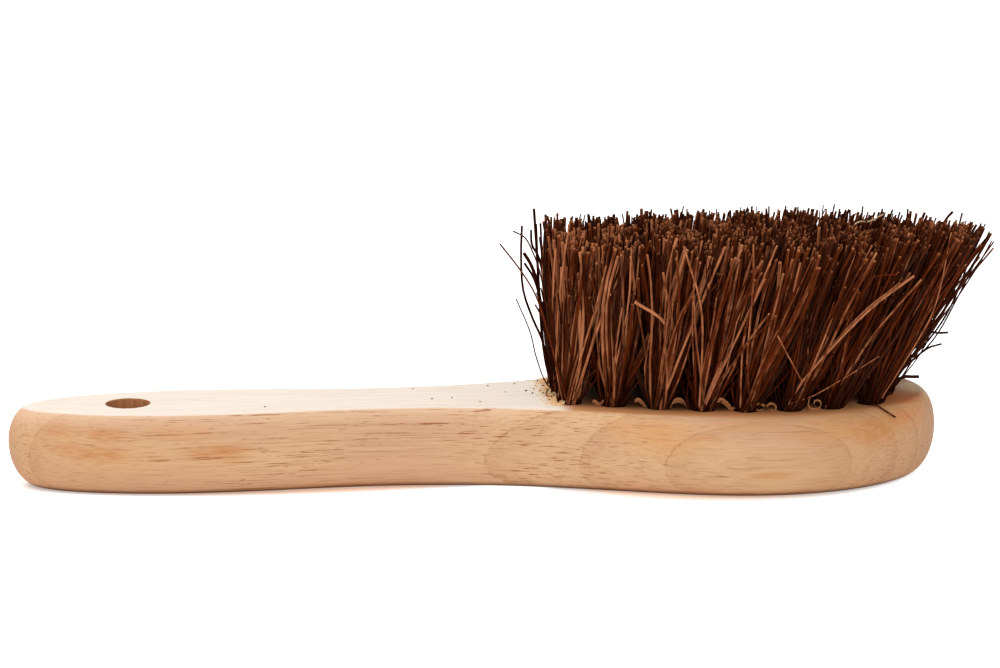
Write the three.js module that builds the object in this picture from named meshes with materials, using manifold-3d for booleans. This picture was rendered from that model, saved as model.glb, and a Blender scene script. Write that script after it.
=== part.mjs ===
// A wok brush: one shaped hardwood block with a hanging hole, and stiff palm-fibre tufts that are folded over
// wire staples and driven into blind holes in its head.
// Millimetres, +Z up, lying on its back with the bristles up. The handle points along -X and the head to +X.
// The origin is on the flat back, under the middle of the block's length.
import * as THREE from "three";
import { mergeVertices } from "three/addons/utils/BufferGeometryUtils.js";
import Module from "manifold-3d";

const wasm = await Module();
wasm.setup();

// Block: the grip is measured from the handle's end, and the neck and the head are measured from the nose.
// The sweeps are the shares of a stretch over which its curve keeps straight on at either end.
const blockLength = 254;
const blockThickness = 22;
const handleWidth = 36;
const handleWidestAt = 51;
const neckWidth = 30.8;
const neckFromNose = 154;
const gripSweep = 0.41;
const neckSweep = 0.485;
const headWidth = 72;
const headWidestFromNose = 51;
const headSweep = 0.3;

// Side of the block: it swells out to a belly, and draws in to the back and to the face.
const bellyHeight = 12.2;
const backDrawIn = 5;
const faceDrawIn = 3.5;
const sideSteps = 4;
const outlineSteps = { tail: 12, handle: 6, shoulder: 14, nose: 16 };

// Hanging hole
const hangingHoleDiameter = 11.8;
const hangingHoleAt = 32.2;
const hangingHoleEdgeBreak = 0.6;
const hangingHoleSides = 28;

// Tuft holes, in columns across the head from the heel, near the neck, to the toe
const tuftsAcross = [3, 4, 5, 5, 6, 6, 6, 5];
const columnsPerNode = [2, 2, 2, 2];
const nodeNames = ["heel", "waist", "belly", "toe"];
const heelColumnFromNose = 103;
const toeColumnFromNose = 22.5;
const toeColumnBow = 6;
const heelTuftInset = 12.5;
const toeTuftInset = 10.8;
const tuftHoleDiameter = 6.5;
const tuftHoleSides = 12;
const floorUnderTufts = 8.5;
const drillPointDepth = 1.4;

// Slice of the block that carries the strands, let into the head around the tufts
const sliceThickness = 3;
const sliceRim = 1.6;
const fitClearance = 0.3;

// Strands: straight and three-sided. The strands of a tuft are cut to about one length, so that those that splay
// out most end lowest, and the tufts get longer from the heel to the toe. A lean is how far the tips stand off the
// feet, and each tuft fans out until its tips nearly meet those of the next.
const strandsPerTuft = 11;
const heelStrandLength = 44.8;
const toeStrandLength = 50;
const strandLengthError = 1.6;
const strandRadius = 0.5;
const strandRooting = 0.6;
const heelLean = -1.5;
const toeLean = 22;
const sideSplay = 0.38;
const tipGap = 0.5;

// Staple: a U of wire. Its crown holds down the fold of a tuft, and its legs bite into the floor of the hole.
const stapleWire = 0.9;
const stapleCrown = 4;
const stapleBite = 4.4;
const staplePoint = 1.2;
const foldThickness = 2.2;

const wood = { color: 0xd9aa7a, roughness: 0.62, metalness: 0 };
const palmFibre = { color: 0x4a2414, roughness: 0.7, metalness: 0 };
const steelWire = { color: 0x9a9c9e, roughness: 0.4, metalness: 1 };

const tailX = -blockLength / 2;
const noseX = blockLength / 2;
const heelColumnX = noseX - heelColumnFromNose;
const toeColumnX = noseX - toeColumnFromNose;
const cutPast = blockThickness;

// A closed geometry as a manifold-3d solid.
function toSolid(geometry) {
  const bare = geometry.clone();
  bare.deleteAttribute("normal");
  bare.deleteAttribute("uv");
  const merged = mergeVertices(bare, 1e-4);
  const corners = merged.index.array;
  const kept = [];
  for (let i = 0; i < corners.length; i += 3) {
    const [a, b, c] = [corners[i], corners[i + 1], corners[i + 2]];
    if (a !== b && b !== c && c !== a) kept.push(a, b, c);
  }
  return new wasm.Manifold(
    new wasm.Mesh({
      numProp: 3,
      vertProperties: new Float32Array(merged.attributes.position.array),
      triVerts: new Uint32Array(kept),
    }),
  );
}

function toMesh(solid, name, finish) {
  const { vertProperties, triVerts } = solid.getMesh();
  const geometry = new THREE.BufferGeometry();
  geometry.setAttribute("position", new THREE.BufferAttribute(vertProperties, 3));
  geometry.setIndex(new THREE.BufferAttribute(triVerts, 1));
  const mesh = new THREE.Mesh(geometry, new THREE.MeshStandardMaterial({ ...finish, flatShading: true }));
  mesh.name = name;
  return mesh;
}

function joined(solids) {
  return wasm.Manifold.union(solids);
}

// A closed skin through rings of equal count, each a counterclockwise list of points at one height.
function loft(rings) {
  const count = rings[0].length;
  const positions = rings.flat().flatMap((p) => [p.x, p.y, p.z]);
  const faces = [];
  for (let r = 0; r + 1 < rings.length; r++) {
    for (let i = 0; i < count; i++) {
      const next = (i + 1) % count;
      const low = r * count;
      const high = low + count;
      faces.push(low + i, low + next, high + next, low + i, high + next, high + i);
    }
  }
  const lastRing = (rings.length - 1) * count;
  const lid = (ring) => THREE.ShapeUtils.triangulateShape(ring.map((p) => new THREE.Vector2(p.x, p.y)), []);
  for (const [a, b, c] of lid(rings[0])) faces.push(c, b, a);
  for (const [a, b, c] of lid(rings.at(-1))) faces.push(lastRing + a, lastRing + b, lastRing + c);
  const geometry = new THREE.BufferGeometry();
  geometry.setAttribute("position", new THREE.Float32BufferAttribute(positions, 3));
  geometry.setIndex(faces);
  return geometry;
}

// The block's half outline, from the tail to the nose, drawn in by an inset: an elliptic end, two S-shaped
// sweeps through the neck, and an elliptic nose.
function halfOutline(inset) {
  const handle = new THREE.Vector2(tailX + handleWidestAt, handleWidth / 2 - inset);
  const neck = new THREE.Vector2(noseX - neckFromNose, neckWidth / 2 - inset);
  const head = new THREE.Vector2(noseX - headWidestFromNose, headWidth / 2 - inset);
  const tailReach = handle.x - tailX - inset;
  const noseReach = noseX - inset - head.x;
  const sweep = (from, to, fromShare, toShare) => {
    const run = to.x - from.x;
    const leaving = new THREE.Vector2(from.x + fromShare * run, from.y);
    const arriving = new THREE.Vector2(to.x - toShare * run, to.y);
    return new THREE.CubicBezierCurve(from, leaving, arriving, to);
  };
  const stretches = [
    [new THREE.EllipseCurve(handle.x, 0, tailReach, handle.y, Math.PI, Math.PI / 2, true), outlineSteps.tail],
    [sweep(handle, neck, gripSweep, gripSweep), outlineSteps.handle],
    [sweep(neck, head, neckSweep, headSweep), outlineSteps.shoulder],
    [new THREE.EllipseCurve(head.x, 0, noseReach, head.y, Math.PI / 2, 0, true), outlineSteps.nose],
  ];
  const points = stretches.flatMap(([curve, steps]) => curve.getPoints(steps).slice(0, -1));
  return [...points, new THREE.Vector2(noseX - inset, 0)];
}

// The whole outline at one height, counterclockwise.
function outlineRing(inset, z) {
  const half = halfOutline(inset);
  const near = half.map((p) => new THREE.Vector3(p.x, -p.y, z));
  const far = half.slice(1, -1).reverse().map((p) => new THREE.Vector3(p.x, p.y, z));
  near[0].y = 0;
  near.at(-1).y = 0;
  return [...near, ...far];
}

function prism(inset, bottom, top) {
  return toSolid(loft([outlineRing(inset, bottom), outlineRing(inset, top)]));
}

function box(x0, x1, y0, y1, z0, z1) {
  const geometry = new THREE.BoxGeometry(x1 - x0, y1 - y0, z1 - z0);
  geometry.translate((x0 + x1) / 2, (y0 + y1) / 2, (z0 + z1) / 2);
  return toSolid(geometry);
}

// A solid turned about a vertical line at x, y, from a profile of [radius, height] pairs that meets the axis.
function turned(profile, sides, x, y) {
  const geometry = new THREE.LatheGeometry(profile.map(([r, z]) => new THREE.Vector2(r, z)), sides);
  geometry.rotateX(Math.PI / 2);
  geometry.translate(x, y, 0);
  return toSolid(geometry);
}

// The side's draw-in at each height: a quarter ellipse up to the belly and another from there to the face.
function sideProfile() {
  const faceRise = blockThickness - bellyHeight;
  const levels = [];
  for (let i = 0; i <= sideSteps; i++) {
    const turn = (i / sideSteps) * (Math.PI / 2);
    levels.push([backDrawIn * (1 - Math.sin(turn)), bellyHeight * (1 - Math.cos(turn))]);
  }
  for (let i = sideSteps - 1; i >= 0; i--) {
    const turn = (i / sideSteps) * (Math.PI / 2);
    levels.push([faceDrawIn * (1 - Math.sin(turn)), blockThickness - faceRise * (1 - Math.cos(turn))]);
  }
  return levels;
}

function halfWidthAt(x) {
  const half = halfOutline(0);
  const after = half.findIndex((p) => p.x >= x);
  const [a, b] = [half[after - 1], half[after]];
  return a.y + ((b.y - a.y) * (x - a.x)) / (b.x - a.x);
}

// Tuft centres, column by column. The columns bow out more and more towards the toe.
function tuftCentres() {
  const columns = tuftsAcross.length;
  return tuftsAcross.map((count, column) => {
    const share = column / (columns - 1);
    const x = THREE.MathUtils.lerp(heelColumnX, toeColumnX, share);
    const reach = halfWidthAt(x) - THREE.MathUtils.lerp(heelTuftInset, toeTuftInset, share);
    return Array.from({ length: count }, (_, i) => {
      const side = count > 1 ? (2 * i) / (count - 1) - 1 : 0;
      return { x: x + toeColumnBow * share * (1 - side * side), y: side * reach };
    });
  });
}

const centresByColumn = tuftCentres();
const heelEdge = heelColumnX - tuftHoleDiameter / 2 - sliceRim;
const pocketInset = Math.min(heelTuftInset, toeTuftInset) - tuftHoleDiameter / 2 - sliceRim;
const pocketFloor = blockThickness - sliceThickness - fitClearance;
const crownUnderside = floorUnderTufts + 2 * fitClearance + foldThickness;
const crownTop = crownUnderside + stapleWire;
const legTip = floorUnderTufts - stapleBite;

// The staple's outline, standing on its points, drawn out by a clearance on every side.
function stapleOutline(clearance) {
  const outer = stapleCrown / 2 + clearance;
  const inner = stapleCrown / 2 - stapleWire - clearance;
  const top = crownTop + clearance;
  const under = crownUnderside - clearance;
  const tip = legTip - clearance;
  const leg = (side) => [
    [side * outer, tip + staplePoint],
    [(side * (outer + inner)) / 2, tip],
    [side * inner, tip + staplePoint],
  ];
  const crown = [[-inner, under], [inner, under]];
  const corners = [[-outer, top], ...leg(-1), ...crown, ...leg(1).reverse(), [outer, top]];
  return new THREE.Shape(corners.map(([x, z]) => new THREE.Vector2(x, z)));
}

function stapleSolid(centre, clearance) {
  const thickness = stapleWire + 2 * clearance;
  const outline = stapleOutline(clearance);
  const geometry = new THREE.ExtrudeGeometry(outline, { depth: thickness, bevelEnabled: false });
  geometry.translate(0, 0, -thickness / 2);
  geometry.rotateX(Math.PI / 2);
  geometry.rotateZ(Math.PI / 2);
  geometry.translate(centre.x, centre.y, 0);
  return toSolid(geometry);
}

function tuftHole(centre) {
  const radius = tuftHoleDiameter / 2;
  const profile = [
    [0, floorUnderTufts - drillPointDepth],
    [radius, floorUnderTufts],
    [radius, blockThickness + cutPast],
    [0, blockThickness + cutPast],
  ];
  return turned(profile, tuftHoleSides, centre.x, centre.y);
}

// The folded root of a tuft, which fills its hole up to the slice.
function tuftRoot(centre) {
  const radius = tuftHoleDiameter / 2 - fitClearance;
  const foldBottom = floorUnderTufts + fitClearance;
  const profile = [
    [0, foldBottom],
    [radius, foldBottom],
    [radius, blockThickness - strandRooting / 2],
    [0, blockThickness - strandRooting / 2],
  ];
  return turned(profile, tuftHoleSides, centre.x, centre.y);
}

function handleBlock() {
  const body = toSolid(loft(sideProfile().map(([inset, z]) => outlineRing(inset, z))));
  const holeRadius = hangingHoleDiameter / 2;
  const edge = hangingHoleEdgeBreak;
  const hangingHole = turned(
    [
      [0, -cutPast],
      [holeRadius + edge + cutPast, -cutPast],
      [holeRadius, edge],
      [holeRadius, blockThickness - edge],
      [holeRadius + edge + cutPast, blockThickness + cutPast],
      [0, blockThickness + cutPast],
    ],
    hangingHoleSides,
    tailX + hangingHoleAt,
    0,
  );
  const pocket = prism(pocketInset, pocketFloor, blockThickness + cutPast).intersect(
    box(heelEdge, noseX, -headWidth, headWidth, 0, blockThickness + 2 * cutPast),
  );
  const centres = centresByColumn.flat();
  const stapleSlots = centres.map((centre) => stapleSolid(centre, fitClearance));
  const cutters = joined([hangingHole, pocket, ...centres.map(tuftHole), ...stapleSlots]);
  return toMesh(body.subtract(cutters), "handle_block", wood);
}

// A repeatable scatter from 0 to 1.
function scatter(seed) {
  const value = Math.sin(seed * 12.9898) * 43758.5453;
  return value - Math.floor(value);
}

// How far along the bristle field a tuft stands, from 0 at the heel to 1 at the toe.
function fieldShare(centre) {
  return (centre.x - heelColumnX) / (toeColumnX - heelColumnX);
}

// Where the tips of a tuft are centred.
function tipCentre(centre) {
  const lean = THREE.MathUtils.lerp(heelLean, toeLean, fieldShare(centre));
  return new THREE.Vector2(centre.x + lean, centre.y * (1 + sideSplay));
}

function tipReach(centre) {
  const tip = tipCentre(centre);
  const others = centresByColumn.flat().filter((other) => other !== centre);
  const nearest = Math.min(...others.map((other) => tip.distanceTo(tipCentre(other))));
  return nearest / 2 - strandRadius - tipGap / 2;
}

// The strands of one tuft stand on a sunflower pattern in the hole and fan out evenly from it.
function tuftStrands(centre, tuftNumber) {
  const seat = tuftHoleDiameter / 2 - fitClearance - strandRadius;
  const reach = tipReach(centre);
  const tips = tipCentre(centre);
  const fullLength = THREE.MathUtils.lerp(heelStrandLength, toeStrandLength, fieldShare(centre));
  const goldenAngle = Math.PI * (3 - Math.sqrt(5));
  return Array.from({ length: strandsPerTuft }, (_, i) => {
    const share = Math.sqrt((i + 0.5) / strandsPerTuft);
    const turn = i * goldenAngle + tuftNumber;
    const [u, v] = [share * Math.cos(turn), share * Math.sin(turn)];
    const foot = new THREE.Vector3(centre.x + seat * u, centre.y + seat * v, blockThickness - strandRooting);
    const length = fullLength - strandLengthError * scatter(tuftNumber * strandsPerTuft + i);
    const tipOver = new THREE.Vector2(tips.x + reach * u, tips.y + reach * v);
    const rise = Math.sqrt(length ** 2 - tipOver.distanceToSquared(foot));
    const tip = new THREE.Vector3(tipOver.x, tipOver.y, blockThickness + rise);
    const corner = (k) => {
      const angle = turn + (k * 2 * Math.PI) / 3;
      return new THREE.Vector3(strandRadius * Math.cos(angle), strandRadius * Math.sin(angle), 0);
    };
    const ring = (middle) => [0, 1, 2].map((k) => corner(k).add(middle));
    return toSolid(loft([ring(foot), ring(tip)]));
  });
}

// One length of the bristle field: its slice of the block's face, and the roots and strands of its tufts.
function bristleField(node) {
  const first = columnsPerNode.slice(0, node).reduce((sum, n) => sum + n, 0);
  const last = first + columnsPerNode[node] - 1;
  const columnX = (i) => centresByColumn[i].reduce((sum, c) => sum + c.x, 0) / centresByColumn[i].length;
  const border = (i) => (columnX(i) + columnX(i + 1)) / 2;
  const start = node === 0 ? heelEdge + fitClearance : border(first - 1) + fitClearance / 2;
  const end = node === columnsPerNode.length - 1 ? noseX : border(last) - fitClearance / 2;
  const sliceBottom = blockThickness - sliceThickness;
  const slice = prism(pocketInset + fitClearance, sliceBottom, blockThickness).intersect(
    box(start, end, -headWidth, headWidth, 0, blockThickness + cutPast),
  );
  const numberedFrom = centresByColumn.slice(0, first).flat().length;
  const centres = centresByColumn.slice(first, last + 1).flat();
  const neighbours = centresByColumn.flat().filter((centre) => !centres.includes(centre));
  const strands = centres.flatMap((centre, i) => tuftStrands(centre, numberedFrom + i));
  const ownSlice = slice.subtract(joined(neighbours.map(tuftHole)));
  const field = joined([ownSlice, ...centres.map(tuftRoot), ...strands]);
  const staples = joined(centres.map((centre) => stapleSolid(centre, fitClearance)));
  return toMesh(field.subtract(staples), `bristles_${nodeNames[node]}`, palmFibre);
}

function staples() {
  return centresByColumn.flat().map((centre, i) => {
    const number = String(i + 1).padStart(2, "0");
    return toMesh(stapleSolid(centre, 0), `staple_${number}`, steelWire);
  });
}

const brush = new THREE.Group();
brush.add(handleBlock());
brush.add(...nodeNames.map((_, node) => bristleField(node)));
brush.add(...staples());

export default brush;
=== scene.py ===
import math

import bpy
import numpy as np
from mathutils import Euler, Matrix


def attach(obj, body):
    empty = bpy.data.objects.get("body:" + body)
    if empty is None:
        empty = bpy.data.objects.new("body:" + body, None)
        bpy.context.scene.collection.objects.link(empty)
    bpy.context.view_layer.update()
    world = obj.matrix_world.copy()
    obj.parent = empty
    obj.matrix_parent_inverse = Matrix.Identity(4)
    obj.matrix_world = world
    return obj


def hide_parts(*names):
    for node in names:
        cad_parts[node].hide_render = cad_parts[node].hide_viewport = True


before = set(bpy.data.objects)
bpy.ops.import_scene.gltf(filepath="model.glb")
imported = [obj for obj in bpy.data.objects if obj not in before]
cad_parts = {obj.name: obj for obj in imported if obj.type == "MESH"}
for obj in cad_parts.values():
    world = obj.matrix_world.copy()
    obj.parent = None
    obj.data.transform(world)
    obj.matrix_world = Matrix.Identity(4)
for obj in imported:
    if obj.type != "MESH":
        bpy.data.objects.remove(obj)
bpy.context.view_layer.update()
scene = bpy.context.scene
scene.view_settings.view_transform = "Standard"
mm = 0.001
goldenAngle = math.pi * (3 - math.sqrt(5))

# camera

photoView = {
    "place": (-82.82, -795.72, 208.0),
    "lens": 108.25,
    "sensor": 36.0,
    "tiltDown": 11.92,
    "turn": -6.377,
    "roll": 0.14,
}


def makeCamera(view):
    data = bpy.data.cameras.new("photoCamera")
    data.sensor_width = view["sensor"]
    data.lens = view["lens"]
    camera = bpy.data.objects.new("photoCamera", data)
    camera.location = [c * mm for c in view["place"]]
    aim = Euler((math.radians(90 - view["tiltDown"]), 0, math.radians(view["turn"]))).to_matrix()
    camera.rotation_euler = (aim @ Matrix.Rotation(math.radians(view["roll"]), 3, "Z")).to_euler()
    scene.collection.objects.link(camera)
    scene.camera = camera


makeCamera(photoView)
print("camera set")

# node helpers


def wire(tree, socket, value):
    if isinstance(value, bpy.types.NodeSocket):
        tree.links.new(value, socket)
    else:
        socket.default_value = value


def addNode(tree, kind, inputs=None, **settings):
    node = tree.nodes.new(kind)
    for name, value in settings.items():
        setattr(node, name, value)
    for key, value in (inputs or {}).items():
        wire(tree, node.inputs[key], value)
    return node


def calc(tree, operation, *values):
    return addNode(tree, "ShaderNodeMath", dict(enumerate(values)), operation=operation).outputs[0]


def vectorCalc(tree, operation, *values):
    return addNode(tree, "ShaderNodeVectorMath", dict(enumerate(values)), operation=operation)


def fade(tree, value, low, high, toLow=0.0, toHigh=1.0):  # a smooth step from low to high
    inputs = {"Value": value, "From Min": low, "From Max": high, "To Min": toLow, "To Max": toHigh}
    return addNode(tree, "ShaderNodeMapRange", inputs, interpolation_type="SMOOTHSTEP").outputs[0]


def mixColor(tree, share, first, second):
    return addNode(tree, "ShaderNodeMix", {0: share, 6: first, 7: second}, data_type="RGBA").outputs[2]


def noise(tree, point, stretch, detail=2.0, roughness=0.5):  # stretch: waves per millimetre on each axis
    scaled = vectorCalc(tree, "MULTIPLY", point, stretch).outputs[0]
    inputs = {"Vector": scaled, "Scale": 1.0, "Detail": detail, "Roughness": roughness}
    return addNode(tree, "ShaderNodeTexNoise", inputs).outputs[0]


def flecks(tree, point, waves, detail, low, high, least, roughness=0.5):  # noise, faded in from low to high
    return fade(tree, noise(tree, point, waves, detail, roughness), low, high, least, 1.0)


def awayFrom(tree, point, middle, half):  # 0 in the middle of an oval and 1 at its rim
    offset = vectorCalc(tree, "SUBTRACT", point, middle).outputs[0]
    scaled = vectorCalc(tree, "DIVIDE", offset, half).outputs[0]
    return vectorCalc(tree, "LENGTH", scaled).outputs["Value"]


def seenByRays(tree):  # 1 where the camera, a reflection or glass looks
    path = addNode(tree, "ShaderNodeLightPath").outputs
    seen = calc(tree, "MAXIMUM", path["Is Camera Ray"], path["Is Glossy Ray"])
    return calc(tree, "MAXIMUM", seen, path["Is Transmission Ray"])


def paint(red, green, blue):  # display values, 0 to 255, as a linear colour
    def linear(c):
        c = c / 255
        return c / 12.92 if c <= 0.04045 else ((c + 0.055) / 1.055) ** 2.4

    return (linear(red), linear(green), linear(blue), 1.0)


def bumped(tree, height, strength, depth):
    inputs = {"Strength": strength, "Distance": depth * mm, "Height": height}
    return addNode(tree, "ShaderNodeBump", inputs).outputs[0]


def newMaterial(name):
    material = bpy.data.materials.new(name)
    material.use_nodes = True
    tree = material.node_tree
    return material, tree, tree.nodes["Principled BSDF"]


def objectPoint(tree):  # the surface point in millimetres, and the surface normal
    coords = addNode(tree, "ShaderNodeTexCoord")
    inputs = {0: coords.outputs["Object"], "Scale": 1 / mm}
    point = addNode(tree, "ShaderNodeVectorMath", inputs, operation="SCALE")
    return point.outputs[0], coords.outputs["Normal"]


# hardwood

grain = {
    "rings": [-33.0, -25.6, -17.0, -8.8, -0.4, 7.2, 17.9, 24.0, 31.2],  # in front of the middle line
    "faint": {7.2: 0.6, 24.0: 0.6, 31.2: 0.8},  # strength of the rings that are weaker than the rest
    "tilt": 0.15,
    "ringNormal": (0.0, -0.989, -0.148),
    "middle": 12.2,
    "headFrom": 47.0,
    "headDrift": 0.04,
    "handleTo": -20.0,
    "handleBlend": 25.0,
    "handleShift": 1.5,
    "bends": [(0.9, (0.025, 0.05, 0.05)), (0.45, (0.5, 1.4, 1.4))],  # millimetres, and waves per millimetre
    "leastAcross": 0.003,
    "line": (0.05, 0.42),
    "latewood": 3.2,
    "broken": ((0.12, 0.25, 0.25), 2.0, 0.3, 0.62, 0.2),  # waves, detail, low, high and least, as below
    "dotted": ((1.1, 1.1, 1.1), 2.0, 0.36, 0.6, 0.35),
    "swayWaves": (0.02, 0.06, 0.06),
    "sway": (0.0, 1.8, 1.8),
    "vessels": ((0.018, 0.7, 2.7), 1.0, 0.57, 0.66, 0.0),
    "dashes": ((0.2, 0.7, 1.9), 2.0, 0.44, 0.58, 0.25),
    "shortPores": ((0.3, 1.3, 3.8), 1.0, 0.68, 0.77, 0.0),
    "patches": ((0.02, 0.1, 0.1), 1.0, 0.38, 0.6, 0.3),
    "poresMiddle": -28.0,
    "poresThin": (30.0, 75.0, 1.0, 0.55),  # away from that middle
    "fibre": ((0.03, 1.2, 3.0), 4.0, 0.6),  # waves, detail and roughness
    "drift": ((0.014, 0.07, 0.07), 2.0),
}


def makeGrainGroup(values):
    group = bpy.data.node_groups.new("hardwoodGrain", "ShaderNodeTree")
    for name in ("Point", "Normal"):
        group.interface.new_socket(name, in_out="INPUT", socket_type="NodeSocketVector")
    for name in ("Rings", "Latewood", "Pores", "Fibre", "Drift"):
        group.interface.new_socket(name, in_out="OUTPUT", socket_type="NodeSocketFloat")
    start = group.nodes.new("NodeGroupInput")
    end = group.nodes.new("NodeGroupOutput")
    point = start.outputs["Point"]
    x, y, z = addNode(group, "ShaderNodeSeparateXYZ", {0: point}).outputs
    tilt = values["tilt"]
    depth = calc(group, "SUBTRACT", calc(group, "MULTIPLY_ADD", z, -tilt, tilt * values["middle"]), y)
    for amount, waves in values["bends"]:
        bend = calc(group, "SUBTRACT", noise(group, point, waves, 1.0), 0.5)
        depth = calc(group, "MULTIPLY_ADD", bend, amount, depth)
    past = calc(group, "MAXIMUM", calc(group, "SUBTRACT", x, values["headFrom"]), 0.0)
    depth = calc(group, "MULTIPLY_ADD", past, -values["headDrift"], depth)
    handleFrom = values["handleTo"] - values["handleBlend"]
    shift = fade(group, x, handleFrom, values["handleTo"], values["handleShift"], 0.0)
    depth = calc(group, "SUBTRACT", depth, shift)
    slope = vectorCalc(group, "DOT_PRODUCT", start.outputs["Normal"], values["ringNormal"]).outputs["Value"]
    across = calc(group, "MULTIPLY_ADD", slope, calc(group, "MULTIPLY", slope, -1.0), 1.0)
    across = calc(group, "MAXIMUM", across, values["leastAcross"])
    across = calc(group, "SQRT", across)  # evens the width of the rings' lines
    rings, latewood = None, None
    for ring in values["rings"]:
        past = calc(group, "SUBTRACT", depth, ring)
        away = calc(group, "DIVIDE", calc(group, "ABSOLUTE", past), across)
        line = fade(group, away, *values["line"], values["faint"].get(ring, 1.0), 0.0)
        band = fade(group, past, 0.0, values["latewood"], 1.0, 0.0)
        band = calc(group, "MULTIPLY", band, calc(group, "GREATER_THAN", past, 0.0))
        rings = line if rings is None else calc(group, "MAXIMUM", rings, line)
        latewood = band if latewood is None else calc(group, "MAXIMUM", latewood, band)
    broken = flecks(group, point, *values["broken"])
    dotted = flecks(group, point, *values["dotted"])
    rings = calc(group, "MULTIPLY", rings, calc(group, "MULTIPLY", broken, dotted))
    slow = vectorCalc(group, "MULTIPLY", point, values["swayWaves"]).outputs[0]
    sway = addNode(group, "ShaderNodeTexNoise", {"Vector": slow, "Scale": 1.0}).outputs["Color"]
    sway = vectorCalc(group, "SUBTRACT", sway, (0.5, 0.5, 0.5)).outputs[0]
    sway = vectorCalc(group, "MULTIPLY", sway, values["sway"]).outputs[0]
    grown = vectorCalc(group, "ADD", point, sway).outputs[0]
    vessels = flecks(group, grown, *values["vessels"])
    dashes = flecks(group, grown, *values["dashes"])
    shortPores = flecks(group, grown, *values["shortPores"])
    pores = calc(group, "MAXIMUM", calc(group, "MULTIPLY", vessels, dashes), shortPores)
    patches = flecks(group, point, *values["patches"])
    aside = calc(group, "ABSOLUTE", calc(group, "SUBTRACT", x, values["poresMiddle"]))
    thinned = fade(group, aside, *values["poresThin"])
    pores = calc(group, "MULTIPLY", pores, calc(group, "MULTIPLY", patches, thinned))
    fibre = noise(group, grown, *values["fibre"])
    drift = noise(group, point, *values["drift"])
    masks = {"Rings": rings, "Latewood": latewood, "Pores": pores, "Fibre": fibre, "Drift": drift}
    for name, value in masks.items():
        group.links.new(value, end.inputs[name])
    return group


grainGroup = makeGrainGroup(grain)


def useGrain(tree, point, normal):
    node = tree.nodes.new("ShaderNodeGroup")
    node.node_tree = grainGroup
    tree.links.new(point, node.inputs["Point"])
    tree.links.new(normal, node.inputs["Normal"])
    return node.outputs


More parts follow.
